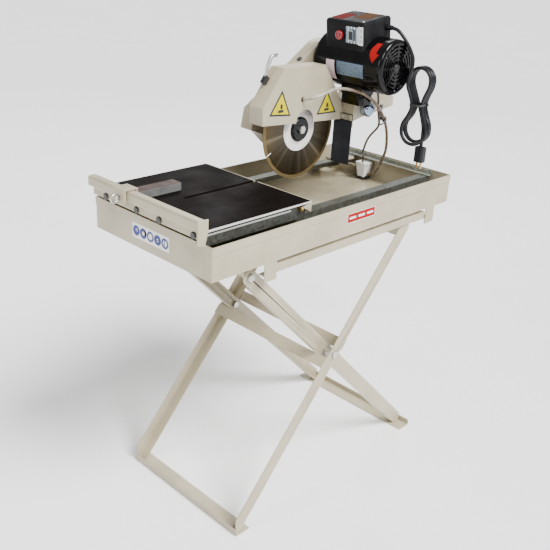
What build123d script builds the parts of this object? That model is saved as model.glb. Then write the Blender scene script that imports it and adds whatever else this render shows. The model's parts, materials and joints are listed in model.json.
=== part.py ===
from build123d import *
import math
import os

os.makedirs("parts", exist_ok=True)

# A wheeled-table wet masonry saw on a folding stand. All lengths are millimetres.
# X runs along the tub, from the operator's end (-X) to the motor end (+X); Y runs across it, and
# the blade cuts in the plane Y = 0; Z is up from the floor. Shapes are drawn with X = 0 at the
# middle of the tub, then every part moves by ORIGIN_SHIFT so that X = 0 is the machine's middle.
ORIGIN_SHIFT = 29.0

# Tub
TUB_LENGTH, TUB_WIDTH = 886.0, 419.0
TUB_TOP, TUB_BOTTOM = 819.0, 740.0
TUB_SHEET, HEM_HEIGHT, HEM_THICK = 2.0, 20.0, 1.0

# Supports under the tub
RAIL_BAR_TOP, RAIL_BAR_BOTTOM = 730.0, 709.0
FOOT_BOTTOM = 695.0

# Stand: two crossed frames of steel angle, the inner one hinged under the tub's operator end
CROSS_X, CROSS_Z = -6.0, 408.0
OUTER_ANGLE, INNER_ANGLE = 49.5, 45.0
OUTER_UP, INNER_UP = 394.0, 416.0
LEG_WIDTH, LEG_SHEET = 38.0, 3.0
OUTER_FACE, INNER_FACE = 209.0, 178.0
LEG_FLANGE = 24.0
FOOT_BAR_HALF = 214.0
OUTER_FOOT_X, INNER_FOOT_X = -344.0, 404.0
FOOT_BAR_WIDTH, FOOT_LIP = 46.0, 18.0
OUTER_TOP = RAIL_BAR_BOTTOM - 3.6
PIVOT_RADIUS = 5.0

# Rails and rolling table
RAIL_Y, RAIL_TOP, RAIL_LEG = 142.0, 802.0, 25.0
WHEEL_RADIUS, WHEEL_WIDTH = 18.0, 14.0
AXLE_RADIUS, AXLE_HALF = 5.0, 176.0
TABLE_LEFT, TABLE_RIGHT, TABLE_HALF = -437.0, -121.0, 185.0
TABLE_TOP = 851.0
SLOT_HALF, SLOT_END = 5.0, -345.0
WHEEL_XS = (-160.0, -395.0)
BACKSTOP_TOP = 878.0
SCREW_Y, SCREW_Z = 64.0, 861.0
BACKSTOP_BOLTS, BACKSTOP_BOLT_Z = (138.0, 22.0, -58.0, -172.0), 841.0

# Head
ARBOR_X, ARBOR_Z = 28.0, 961.0
MOTOR_X, MOTOR_Z = 187.0, 1125.0
PIVOT_X, PIVOT_Z = 211.0, 1003.0
BLADE_RADIUS, BLADE_HALF, RIM_HALF, RIM_DEPTH = 127.0, 1.2, 1.5, 8.0
ARBOR_RADIUS = 7.5
MOTOR_RADIUS, MOTOR_WALL = 68.0, 3.5
MOTOR_DRIVE_Y, MOTOR_FAN_Y = 50.0, -168.0
ARM_NEAR, ARM_FAR, ARM_TOP, ARM_FRONT, ARM_REAR = -62.0, 38.0, 1022.0, 168.0, 336.0
ARM_SHEET = 3.0
GUARD_NEAR, GUARD_FAR, GUARD_SHEET = -25.0, 20.0, 2.0
BELT_NEAR, BELT_FAR, BELT_SHEET = 52.0, 92.0, 2.0
ARBOR_PULLEY, MOTOR_PULLEY = 38.0, 32.0
PULLEY_Y0, PULLEY_Y1 = 63.0, 80.0
BELT_WIDTH, GROOVE_DEPTH = 10.0, 9.2
FIT = 0.05

# Switch box on the motor
# (drawn upright over the motor, then leant back about the motor's axis)
BOX_X0, BOX_X1, BOX_Y0, BOX_Y1, BOX_TOP, BOX_BASE = 133.0, 242.0, -108.0, 17.0, 1235.0, 1150.0
BOX_LEAN = 8.0
STOP_Y, STOP_Z = -34.0, 1200.0
START_Y, START_Z = -71.0, 1203.0

# Hose and cords
HOSE_RADIUS, CORD_RADIUS, PUMP_CORD_RADIUS = 4.0, 4.5, 3.0

# Pump, and the post behind the blade
PUMP_X, PUMP_Y, PUMP_TOP = 416.0, 74.0, 794.0
POST_X0, POST_X1, POST_Y0, POST_Y1 = 338.0, 374.0, 104.0, 140.0
HINGE_PLATE_NEAR, HINGE_PLATE_FAR = 41.0, 49.0


def block(x0, x1, y0, y1, z0, z1):
    """A box between two corners."""
    return Pos((x0 + x1) / 2, (y0 + y1) / 2, (z0 + z1) / 2) * Box(x1 - x0, y1 - y0, z1 - z0)


def disc_x(y, z, x0, x1, radius):
    """A cylinder along X."""
    return Pos((x0 + x1) / 2, y, z) * Rot(0, 90, 0) * Cylinder(radius, x1 - x0)


def disc_y(x, z, y0, y1, radius):
    """A cylinder along Y."""
    return Pos(x, (y0 + y1) / 2, z) * Rot(90, 0, 0) * Cylinder(radius, y1 - y0)


def disc_z(x, y, z0, z1, radius):
    """A cylinder along Z."""
    return Pos(x, y, (z0 + z1) / 2) * Cylinder(radius, z1 - z0)


def slab_y(sketch, y0, y1):
    """A sketch of (x, z) points, extruded along Y."""
    return extrude(Plane.XZ.offset(-y1) * sketch, y1 - y0)


def plate_y(points, y0, y1):
    """A flat plate with a polygon outline of (x, z) points."""
    return slab_y(make_face(Polyline(*points, close=True)), y0, y1)


def slab_x(sketch, x0, x1):
    """A sketch of (y, z) points, extruded along X."""
    return extrude(Plane.YZ.offset(x0) * sketch, x1 - x0)


def plate_x(points, x0, x1):
    """A flat plate with a polygon outline of (y, z) points."""
    return slab_x(make_face(Polyline(*points, close=True)), x0, x1)


def both_sides(shape):
    """The shape and its mirror image across Y = 0."""
    return [shape, mirror(shape, Plane.XZ)]


def save(node, *solids):
    """Write one node, moved to the machine's own origin."""
    pieces = [solid for shape in solids for solid in shape.solids()]
    moved = [Pos(ORIGIN_SHIFT, 0, 0) * piece for piece in pieces]
    export_step(moved[0] if len(moved) == 1 else Compound(moved), f"parts/{node}.step")


# ---------------------------------------------------------------- tub and what is fixed to it


def make_tub():
    """Open sheet-steel tub with a folded hem round its rim."""
    half_l, half_w = TUB_LENGTH / 2, TUB_WIDTH / 2
    outside = block(-half_l, half_l, -half_w, half_w, TUB_BOTTOM, TUB_TOP)
    hem_l, hem_w = half_l + HEM_THICK, half_w + HEM_THICK
    hem = block(-hem_l, hem_l, -hem_w, hem_w, TUB_TOP - HEM_HEIGHT, TUB_TOP)
    in_l, in_w = half_l - TUB_SHEET, half_w - TUB_SHEET
    inside = block(-in_l, in_l, -in_w, in_w, TUB_BOTTOM + TUB_SHEET, TUB_TOP + 1)
    return outside + hem - inside


def make_tub_supports():
    """Side bars and corner brackets under the tub, and the lugs that carry the stand's hinge."""
    outer = TUB_WIDTH / 2
    bar = block(-246, 343, outer - 20, outer - 4, RAIL_BAR_BOTTOM, RAIL_BAR_TOP)
    pieces = both_sides(bar)
    for x0, x1 in ((-285, -246), (343, 382)):
        plate = block(x0, x1, outer - 3, outer, FOOT_BOTTOM, TUB_BOTTOM)
        shelf = block(x0, x1, outer - 40, outer - 3, TUB_BOTTOM - 3, TUB_BOTTOM)
        hook = block(x0, x1, outer - 20, outer - 3, RAIL_BAR_BOTTOM, RAIL_BAR_BOTTOM + 3)
        pieces += both_sides(plate + shelf + hook)
    pin_x, pin_z = hinge_pin()
    inner = INNER_FACE - LEG_SHEET - 1
    lug = block(pin_x - 13, pin_x + 13, inner - 4, inner, pin_z, TUB_BOTTOM)
    lug += disc_y(pin_x, pin_z, inner - 4, inner, 13)
    lug += block(pin_x - 13, pin_x + 13, inner - 30, inner - 4, TUB_BOTTOM - 4, TUB_BOTTOM)
    lug -= disc_y(pin_x, pin_z, inner - 6, inner + 2, PIVOT_RADIUS + FIT)
    return pieces + both_sides(lug)


def make_cart_rails():
    """Two angle rails, each with a flat top flange and a hanging web."""
    web = block(-430, 438, RAIL_Y, RAIL_Y + 3, RAIL_TOP - RAIL_LEG, RAIL_TOP)
    top = block(-430, 438, RAIL_Y - RAIL_LEG, RAIL_Y, RAIL_TOP - 3, RAIL_TOP)
    return both_sides(web + top)


def make_rail_cross_bars():
    """Front cross bar, brackets that carry the rails, and the stop bar on the rails' rear ends."""
    wall, end = TUB_WIDTH / 2 - TUB_SHEET, TUB_LENGTH / 2 - TUB_SHEET
    low, high = RAIL_TOP - RAIL_LEG - 6, RAIL_TOP - RAIL_LEG
    bars = [block(-425, -395, -wall, wall, low, high)]
    bars += both_sides(block(412, end, RAIL_Y - 32, RAIL_Y + 8, low, high))
    bars.append(block(POST_X0 - 4, POST_X1 + 4, RAIL_Y - 6, wall, low, high))
    stop = block(424, 440, -RAIL_Y - 8, RAIL_Y + 8, RAIL_TOP, RAIL_TOP + 3)
    stop += block(437, 440, -RAIL_Y - 8, RAIL_Y + 8, RAIL_TOP + 3, RAIL_TOP + 14)
    return bars + [stop]


def make_head_column():
    """Square post on the far rail, with an arm at its top that holds the head's pivot pin."""
    post = block(POST_X0, POST_X1, POST_Y0, POST_Y1, RAIL_TOP + 6, 986)
    post += block(POST_X0 - 16, POST_X1 + 16, POST_Y0 - 10, RAIL_Y + 7, RAIL_TOP, RAIL_TOP + 6)
    post += block(POST_X0 + 6, POST_X1, HINGE_PLATE_NEAR, POST_Y1, 984, 1010)
    outline = [(PIVOT_X, 986), (300, 978), (POST_X1, 984), (POST_X1, 1012), (PIVOT_X, 1020)]
    plate = plate_y(outline, HINGE_PLATE_NEAR, HINGE_PLATE_FAR)
    plate += disc_y(PIVOT_X, PIVOT_Z, HINGE_PLATE_NEAR, HINGE_PLATE_FAR, 18)
    return post + plate - disc_y(PIVOT_X, PIVOT_Z, 30, 60, 8)


def make_pivot_pin():
    """Pin held by the post's hinge plate; the head turns on it."""
    return disc_y(PIVOT_X, PIVOT_Z, -79.5, HINGE_PLATE_FAR, 8)


def make_pump():
    """Small submersible pump: tapered body on a dark strainer foot, with a spigot on its near side."""
    low, top = Plane((PUMP_X, PUMP_Y, 750)), Plane((PUMP_X, PUMP_Y, PUMP_TOP))
    body = loft([low * RectangleRounded(28, 24, 4), top * RectangleRounded(44, 38, 6)])
    body += disc_y(PUMP_X, 758, PUMP_Y - 15, PUMP_Y, HOSE_RADIUS)
    foot = block(PUMP_X - 16, PUMP_X + 16, PUMP_Y - 14, PUMP_Y + 14, TUB_BOTTOM + TUB_SHEET, 750)
    return body, foot


# ---------------------------------------------------------------- rolling table


def make_table_mat():
    """Ribbed rubber top of the rolling table, with the kerf slot that the blade runs in."""
    mat = block(TABLE_LEFT, TABLE_RIGHT, -TABLE_HALF, TABLE_HALF, TABLE_TOP - 6, TABLE_TOP)
    return mat - kerf_slot(TABLE_TOP - 8, TABLE_TOP + 2)


def kerf_slot(z0, z1):
    """Space that the blade needs in the rolling table."""
    return block(SLOT_END, TABLE_RIGHT + 20, -SLOT_HALF, SLOT_HALF, z0, z1)


def make_table_tray():
    """Bent sheet tray under the mat, with a lip turned down at each end."""
    tray = block(-458, -114, -TABLE_HALF + 9, TABLE_HALF - 9, TABLE_TOP - 12, TABLE_TOP - 6)
    tray += block(-117, -114, -TABLE_HALF, TABLE_HALF, 822, TABLE_TOP - 2)
    tray += both_sides(plate_y([(-146, 839), (-116, 845), (-116, 822)], TABLE_HALF - 2, TABLE_HALF))
    tray += block(-458, -455, -TABLE_HALF, TABLE_HALF, 834, TABLE_TOP - 6)
    return tray - kerf_slot(815, TABLE_TOP + 2)


def make_table_trims():
    """Aluminium edge strips along both long sides of the table."""
    strip = block(TABLE_LEFT, -118, TABLE_HALF, TABLE_HALF + 2, TABLE_TOP - 6, TABLE_TOP - 1)
    rod = block(-432, -176, 175, 178, TABLE_TOP - 19, TABLE_TOP - 14)
    return both_sides(strip) + both_sides(rod)


def make_table_channels():
    """Two channels under the tray that carry the wheel axles."""
    top, low = TABLE_TOP - 12, RAIL_TOP + 6
    web = block(-437, -125, 172, 175, low, top)
    web += block(-437, -125, 152, 172, top - 3, top)
    for x in WHEEL_XS:
        web -= disc_y(x, RAIL_TOP + WHEEL_RADIUS, 170, 177, AXLE_RADIUS + FIT)
    return both_sides(web)


def make_wheelset(x):
    """Axle with two flanged wheels; it turns in the table's channels."""
    z = RAIL_TOP + WHEEL_RADIUS
    axle = disc_y(x, z, -AXLE_HALF, AXLE_HALF, AXLE_RADIUS)
    solids = axle
    for side in (1, -1):
        near, far = sorted((side * (RAIL_Y - 4), side * (RAIL_Y - 4 - WHEEL_WIDTH)))
        solids += disc_y(x, z, near, far, WHEEL_RADIUS - 0.1)
    return solids


def make_backstop():
    """Fence across the operator's end: a hollow rounded bar on a bolted flange."""
    outline = make_face(Polyline((-471, 853), (-446, 853), (-446, 878), (-471, 878), close=True))
    outline = fillet(outline.vertices(), 6)
    bar = slab_y(outline, -194, 196) - slab_y(offset(outline, -2), -192, 194)
    flange = block(-461, -458, -188, 190, 834, 853.5)
    for y in BACKSTOP_BOLTS:
        flange -= disc_x(y, BACKSTOP_BOLT_Z, -462, -457, 4)
    near_end = plate_y([(-472, 826), (-452, 822), (-444, 852), (-444, 879), (-472, 879)], -197, -194)
    return bar + flange + near_end


def make_backstop_bolts():
    """Dome-headed bolts through the backstop's flange."""
    bolts = []
    for y in BACKSTOP_BOLTS:
        head = disc_x(y, BACKSTOP_BOLT_Z, -466, -461, 8)
        bolts.append(fillet(head.edges().group_by(Axis.X)[0], 3) + disc_x(y, BACKSTOP_BOLT_Z, -461, -458, 4))
    return bolts


def make_rip_guide():
    """Square-cut bar that lies on the table and squares the tile against the backstop."""
    bar = block(-440.5, -314, 48, 80, TABLE_TOP + 0.4, TABLE_TOP + 20)
    return chamfer(bar.edges().group_by(Axis.Z)[-1], 1.5)


def make_guide_clamp():
    """Saddle over the backstop that carries the rip guide."""
    high, y0, y1 = BACKSTOP_TOP + 4, 44, 84
    saddle = block(-478, -440.5, y0, y1, BACKSTOP_TOP + 0.5, high)
    saddle += block(-478, -472.4, y0, y1, 846, BACKSTOP_TOP + 0.5)
    saddle += block(-445.5, -440.5, y0, y1, TABLE_TOP + 2.4, BACKSTOP_TOP + 0.5)
    return saddle - disc_x(SCREW_Y, SCREW_Z, -480, -470, 4 + FIT)


def make_clamp_screw():
    """Thumb screw that locks the saddle, with a ring handle."""
    stem = disc_x(SCREW_Y, SCREW_Z, -485, -471.4, 4)
    ring = Pos(-490, SCREW_Y, SCREW_Z) * Rot(90, 0, 0) * Torus(9, 3)
    return stem + ring


# ---------------------------------------------------------------- cutting head

GUARD_OUTLINE = [(-128, 992), (-130, 1034), (-62, 1122), (86, 1120), (158, 1024), (168, 998), (168, 974)]


def make_head_arm():
    """Welded arm: a channel over the pivot, and a far plate that reaches forward to the arbor."""
    near_outline = [(168, 975), (219, 984), (336, 997), (336, 1022), (168, 1022)]
    near = plate_y(near_outline, ARM_NEAR, ARM_NEAR + ARM_SHEET)
    far_outline = [(-6, 934), (62, 934), (168, 962), (219, 984), (336, 997), (336, 1022), (168, 1022),
                   (70, 1010), (-6, 996)]
    far = plate_y(far_outline, ARM_FAR - 4, ARM_FAR)
    top = block(ARM_FRONT, ARM_REAR, ARM_NEAR, ARM_FAR, ARM_TOP - ARM_SHEET, ARM_TOP)
    front = block(ARM_FRONT, ARM_FRONT + 3, ARM_NEAR, ARM_FAR, 977, ARM_TOP)
    tab = block(ARM_FRONT, ARM_FRONT + 3, ARM_NEAR + 2, 2, 957, 977)
    arm = near + far + top + front + tab
    arm -= disc_y(PIVOT_X, PIVOT_Z, ARM_NEAR - 2, ARM_FAR + 2, 8 + FIT)
    return arm - disc_y(ARBOR_X, ARBOR_Z, ARM_FAR - 6, ARM_FAR + 2, 28)


def make_bearing_housing():
    """Flanged cylinder that holds the arbor's two bearings."""
    body = disc_y(ARBOR_X, ARBOR_Z, 22, 51, 28) + disc_y(ARBOR_X, ARBOR_Z, 29, ARM_FAR - 4, 36)
    return body - disc_y(ARBOR_X, ARBOR_Z, 20, 53, 17.5)


def make_arbor_bearings():
    """Two sealed ball bearings, drawn as rings."""
    rings = []
    for y0, y1 in ((23, 34), (39, 50)):
        ring = disc_y(ARBOR_X, ARBOR_Z, y0, y1, 17.5)
        rings.append(ring - disc_y(ARBOR_X, ARBOR_Z, y0 - 1, y1 + 1, ARBOR_RADIUS + FIT))
    return rings


def make_arbor_shaft():
    """Shaft from the blade to the driven pulley, with its clamping nut."""
    shaft = disc_y(ARBOR_X, ARBOR_Z, -16.5, 84, ARBOR_RADIUS)
    shaft += disc_y(ARBOR_X, ARBOR_Z, 8.5, 22, 10)
    nut = Plane.XZ.offset(8.5) * Pos(ARBOR_X, ARBOR_Z) * RegularPolygon(11, 6)
    return shaft, extrude(nut, 6) - disc_y(ARBOR_X, ARBOR_Z, -25, 0, ARBOR_RADIUS)


def make_blade_flanges():
    """The two clamping washers on each side of the blade."""
    flanges = []
    for y0, y1 in ((BLADE_HALF, 8.5), (-8.5, -BLADE_HALF)):
        flange = disc_y(ARBOR_X, ARBOR_Z, y0, y1, 31)
        outer_rim = flange.edges().filter_by(GeomType.CIRCLE).sort_by(Axis.Y)
        flange = chamfer(outer_rim[-1 if y0 > 0 else 0], 3)
        flanges.append(flange - disc_y(ARBOR_X, ARBOR_Z, -10, 10, ARBOR_RADIUS))
    return flanges


def blade_slots():
    """Narrow relief slots in the blade's rim, opposite each other."""
    slots = []
    for turn in (206.6, 26.6):
        slot = Pos(ARBOR_X, 0, ARBOR_Z) * Rot(0, -turn, 0) * block(BLADE_RADIUS - 20, BLADE_RADIUS + 2, -3, 3, -2, 2)
        slots.append(slot)
    return slots[0] + slots[1]


def make_blade():
    """Steel core and the diamond rim round it."""
    core_radius = BLADE_RADIUS - RIM_DEPTH
    core = disc_y(ARBOR_X, ARBOR_Z, -BLADE_HALF, BLADE_HALF, core_radius)
    core -= disc_y(ARBOR_X, ARBOR_Z, -3, 3, ARBOR_RADIUS)
    rim = disc_y(ARBOR_X, ARBOR_Z, -RIM_HALF, RIM_HALF, BLADE_RADIUS)
    rim -= disc_y(ARBOR_X, ARBOR_Z, -3, 3, core_radius)
    return core - blade_slots(), rim - blade_slots()


def make_pulley(x, z, radius, shaft_radius):
    """Pulley with one belt groove."""
    middle = (PULLEY_Y0 + PULLEY_Y1) / 2
    groove = BELT_WIDTH / 2 + 0.5
    body = disc_y(x, z, PULLEY_Y0, PULLEY_Y1, radius)
    ring = disc_y(x, z, middle - groove, middle + groove, radius + 1)
    ring -= disc_y(x, z, middle - groove - 1, middle + groove + 1, radius - GROOVE_DEPTH)
    return body - ring - disc_y(x, z, PULLEY_Y0 - 1, PULLEY_Y1 + 1, shaft_radius)


def belt_loop(inset):
    """Outline round both pulleys, at a depth below their rims."""
    circles = Pos(ARBOR_X, ARBOR_Z) * Circle(ARBOR_PULLEY - inset)
    circles += Pos(MOTOR_X, MOTOR_Z) * Circle(MOTOR_PULLEY - inset)
    return make_hull(circles.edges())


def make_v_belt():
    """Closed belt, a hair clear of the grooves that it runs in."""
    middle = (PULLEY_Y0 + PULLEY_Y1) / 2
    y0, y1 = middle - BELT_WIDTH / 2, middle + BELT_WIDTH / 2
    return slab_y(belt_loop(0.8), y0, y1) - slab_y(belt_loop(GROOVE_DEPTH - 0.4), y0 - 1, y1 + 1)


def belt_cover_outline(inset):
    """Outline of the belt guard: straight over the top, round behind the motor pulley."""
    left = Polyline((-89, 962), (-80, 1011), (138, 1154))
    round_top = ThreePointArc((138, 1154), (184, 1165), (225, 1143))
    right = Polyline((225, 1143), (234, 1090), (96, 918), (-12, 912), (-52, 948), (-89, 962))
    face = make_face(left + round_top + right)
    return offset(face, -inset) if inset else face


def make_belt_guard():
    """Back plate with two shaft holes, and the hollow cover over both pulleys."""
    plate = slab_y(belt_cover_outline(0), BELT_NEAR, BELT_NEAR + BELT_SHEET)
    plate -= disc_y(ARBOR_X, ARBOR_Z, BELT_NEAR - 2, BELT_NEAR + 4, 14)
    plate -= disc_y(MOTOR_X, MOTOR_Z, BELT_NEAR - 2, BELT_NEAR + 4, 20)
    cover = slab_y(belt_cover_outline(0), BELT_NEAR + BELT_SHEET, BELT_FAR)
    cover -= slab_y(belt_cover_outline(BELT_SHEET), BELT_NEAR, BELT_FAR - BELT_SHEET)
    return plate, cover


def make_belt_guard_bolts():
    """Screws through the belt guard's cover, and one on its sloping rim."""
    bolts = [disc_y(x, z, BELT_FAR, BELT_FAR + 4, 6) for x, z in ((100, 1108), (-66, 985), (205, 1140))]
    slope = math.degrees(math.atan2(1154 - 1011, 138 + 80))
    rim = Pos(86, 64, 1154 - 52 * math.tan(math.radians(slope))) * Rot(0, -slope, 0) * Pos(0, 0, 2)
    head = rim * Cylinder(7, 4)
    bolts.append(fillet(head.edges().filter_by(GeomType.CIRCLE).sort_by(Axis.Z)[-1], 2))
    return bolts


def guard_shell(inset):
    """Outline of the blade guard, or the space inside it."""
    face = make_face(Polyline(*GUARD_OUTLINE, close=True))
    return offset(face, -inset, kind=Kind.INTERSECTION) if inset else face


def make_blade_guard():
    """Welded guard: two side plates and a rim, open below, with an arched notch for the nut."""
    guard = slab_y(guard_shell(0), GUARD_NEAR, GUARD_FAR)
    guard -= slab_y(guard_shell(GUARD_SHEET), GUARD_NEAR + GUARD_SHEET, GUARD_FAR - GUARD_SHEET)
    mouth = [(-126, 960), (-126, 1000), (166, 982), (166, 960)]
    guard -= plate_y(mouth, GUARD_NEAR + GUARD_SHEET, GUARD_FAR - GUARD_SHEET)
    notch = block(ARBOR_X - 38, ARBOR_X + 25, GUARD_NEAR - 2, GUARD_NEAR + 4, 940, 984)
    notch += disc_y(ARBOR_X - 6.5, 984, GUARD_NEAR - 2, GUARD_NEAR + 4, 31.5)
    guard -= notch
    guard -= disc_y(8, 1042, GUARD_NEAR - 2, GUARD_NEAR + 4, HOSE_RADIUS + 2)
    shaft_way = block(ARBOR_X - 14, ARBOR_X + 14, GUARD_FAR - 4, GUARD_FAR + 2, 940, ARBOR_Z + 14)
    return guard - shaft_way


def make_lift_handle():
    """Bent rod and its ribbed block on the guard's sloping front."""
    grip = Pos(-94.2, 8, 1093.0) * Rot(0, -52.3, 0) * Box(21, 13, 12)
    path = FilletPolyline((-91, 8, 1098), (-87, 8, 1122), (-76, 8, 1147), (-58, 8, 1149), radius=10)
    rod = sweep(Plane(origin=path @ 0, z_dir=path % 0) * Circle(4.5), path)
    return rod - grip, grip


def make_splash_flap():
    """Rubber sheet that hangs behind the blade, with a taller corner beside the guard."""
    sheet = block(ARM_FRONT - 3, ARM_FRONT, -60, 0, 857, 973)
    return sheet + block(ARM_FRONT - 3, ARM_FRONT, -60, GUARD_NEAR - 2, 973, 992)


def make_flap_clamp():
    """Strip, screw and wing nut that hold the flap to the arm."""
    front = ARM_FRONT - 5
    strip = block(front, ARM_FRONT - 3, -60, GUARD_NEAR - 2, 976, 990)
    screw = disc_x(-52, 983, front - 4, front, 4.5)
    hub = disc_x(-35, 984, front - 7, front, 5)
    wings = plate_x([(-46, 992), (-41, 981), (-29, 981), (-27.5, 992), (-31, 987), (-39, 987)], front - 6, front - 3)
    return [strip, screw, hub + wings]


def make_hose_clip():
    """P-clip hung from the arm that holds the water hose."""
    x, y, z = HOSE_CLIP
    along = Plane(origin=HOSE_CLIP, z_dir=(0.70, 0.25, -0.67))
    ring = along * Cylinder(HOSE_RADIUS + 3, 8)
    strap = block(x - 5, x + 5, ARM_NEAR - 3, ARM_NEAR, z - 3, z + 36)
    strap += block(x - 5, x + 5, y + HOSE_RADIUS, ARM_NEAR - 1, z - 3, z)
    return ring + strap - along * Cylinder(HOSE_RADIUS + 1, 40)


# Motor


def make_motor_shell():
    """Rolled steel tube round the stator."""
    tube = disc_y(MOTOR_X, MOTOR_Z, -148, 32, MOTOR_RADIUS)
    return tube - disc_y(MOTOR_X, MOTOR_Z, -150, 34, MOTOR_RADIUS - MOTOR_WALL)


def make_front_bell():
    """Drive-end bell with the shaft's hole."""
    bell = disc_y(MOTOR_X, MOTOR_Z, 32, MOTOR_DRIVE_Y, MOTOR_RADIUS)
    bell = fillet(bell.edges().filter_by(GeomType.CIRCLE).sort_by(Axis.Y)[-1], 12)
    bell -= disc_y(MOTOR_X, MOTOR_Z, 30, 42, MOTOR_RADIUS - 14)
    return bell - disc_y(MOTOR_X, MOTOR_Z, 30, 60, 8 + FIT)


def make_fan_grille():
    """Fan-end cover: concentric slots between spokes."""
    cover = disc_y(MOTOR_X, MOTOR_Z, MOTOR_FAN_Y, -148, MOTOR_RADIUS)
    cover = fillet(cover.edges().filter_by(GeomType.CIRCLE).sort_by(Axis.Y)[0], 9)
    cover -= disc_y(MOTOR_X, MOTOR_Z, MOTOR_FAN_Y + 4, -146, MOTOR_RADIUS - 5)
    slots = None
    for radius in (16, 25, 34, 43, 52):
        ring = disc_y(MOTOR_X, MOTOR_Z, MOTOR_FAN_Y - 1, MOTOR_FAN_Y + 5, radius + 2.4)
        ring -= disc_y(MOTOR_X, MOTOR_Z, MOTOR_FAN_Y - 2, MOTOR_FAN_Y + 6, radius - 2.4)
        slots = ring if slots is None else slots + ring
    for turn in range(0, 180, 45):
        spoke = Pos(MOTOR_X, MOTOR_FAN_Y + 2, MOTOR_Z) * Rot(0, turn, 0) * Box(130, 8, 5)
        slots -= spoke
    return cover - slots


def make_stator():
    """Stator pack and its end windings, as one ring inside the shell."""
    ring = disc_y(MOTOR_X, MOTOR_Z, -100, -5, MOTOR_RADIUS - MOTOR_WALL)
    return ring - disc_y(MOTOR_X, MOTOR_Z, -102, 0, 38)


def make_rotor():
    """Rotor pack on its shaft, and the cooling fan behind it."""
    shaft = disc_y(MOTOR_X, MOTOR_Z, -150, 84, 8)
    pack = disc_y(MOTOR_X, MOTOR_Z, -95, -10, 37.4)
    fan = disc_y(MOTOR_X, MOTOR_Z, -142, -140, 50) + disc_y(MOTOR_X, MOTOR_Z, -152, -134, 14)
    for turn in range(0, 360, 45):
        blade = Pos(MOTOR_X, -145, MOTOR_Z) * Rot(0, turn, 0) * Pos(31, 0, 0) * Box(36, 8, 2.5)
        fan += blade
    return shaft + pack, fan - disc_y(MOTOR_X, MOTOR_Z, -160, -130, 8)


def make_motor_base():
    """Slotted slide base on top of the arm, for setting the belt's tension."""
    base = block(148, 200, -96, -27, ARM_TOP, ARM_TOP + 24)
    base = fillet(base.edges().filter_by(Axis.Z), 12)
    for y in (-80, -43):
        base -= block(160, 188, y - 5, y + 5, ARM_TOP + 6, ARM_TOP + 30)
    return base


def make_motor_cradle():
    """Bent steel saddle that the motor is bolted to."""
    cradle = block(150, 200, -95, -27, ARM_TOP + 24, ARM_TOP + 48)
    return cradle - disc_y(MOTOR_X, MOTOR_Z, -110, 20, MOTOR_RADIUS)


def leant(shape):
    """Lean a part of the switch box back about the motor's axis."""
    return Pos(MOTOR_X, 0, MOTOR_Z) * Rot(0, -BOX_LEAN, 0) * Pos(-MOTOR_X, 0, -MOTOR_Z) * shape


def make_switch_box():
    """Hollow box that sits saddle-wise on the motor, with holes for the two controls."""
    box = block(BOX_X0, BOX_X1, BOX_Y0, BOX_Y1, BOX_BASE, BOX_TOP)
    box = fillet(box.edges().filter_by(Axis.Z) + box.edges().group_by(Axis.Z)[-1], 8)
    box -= disc_y(MOTOR_X, MOTOR_Z, BOX_Y0 - 5, BOX_Y1 + 5, MOTOR_RADIUS)
    box -= block(BOX_X0 + 4, BOX_X1 - 4, BOX_Y0 + 4, BOX_Y1 - 4, MOTOR_Z + 40, BOX_TOP - 4)
    box -= disc_x(STOP_Y, STOP_Z, BOX_X0 - 2, BOX_X0 + 6, 9.3)
    return leant(box - start_opening())


def start_opening():
    """Space round the start button."""
    return block(BOX_X0 - 4, BOX_X0 + 6, START_Y - 8.3, START_Y + 8.3, START_Z - 13.3, START_Z + 13.3)


def make_switch_plate():
    """Steel plate round the start button."""
    plate = block(BOX_X0 - 2, BOX_X0, START_Y - 19, START_Y + 19, START_Z - 20, START_Z + 20)
    return leant(plate - start_opening())


def make_stop_button():
    """Red button with a raised ring on its face."""
    head = disc_x(STOP_Y, STOP_Z, BOX_X0 - 10, BOX_X0 - 5, 11.5)
    head = fillet(head.edges().filter_by(GeomType.CIRCLE).sort_by(Axis.X)[0], 2)
    head -= disc_x(STOP_Y, STOP_Z, BOX_X0 - 11, BOX_X0 - 8.5, 7) - disc_x(STOP_Y, STOP_Z, BOX_X0 - 12, BOX_X0, 3.5)
    return leant(head + disc_x(STOP_Y, STOP_Z, BOX_X0 - 5, BOX_X0 + 8, 9))


def make_start_button():
    """Square start button."""
    return leant(block(BOX_X0 - 6, BOX_X0 + 8, START_Y - 8, START_Y + 8, START_Z - 13, START_Z + 13))


def make_lock_knob():
    """Domed nut on the pivot pin's near end."""
    knob = disc_y(PIVOT_X, PIVOT_Z, -84, ARM_NEAR - 0.6, 19)
    knob = fillet(knob.edges().filter_by(GeomType.CIRCLE).sort_by(Axis.Y)[0], 7)
    return knob - disc_y(PIVOT_X, PIVOT_Z, -80, -55, 8 + FIT)


# ---------------------------------------------------------------- power cord and water hose

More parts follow.
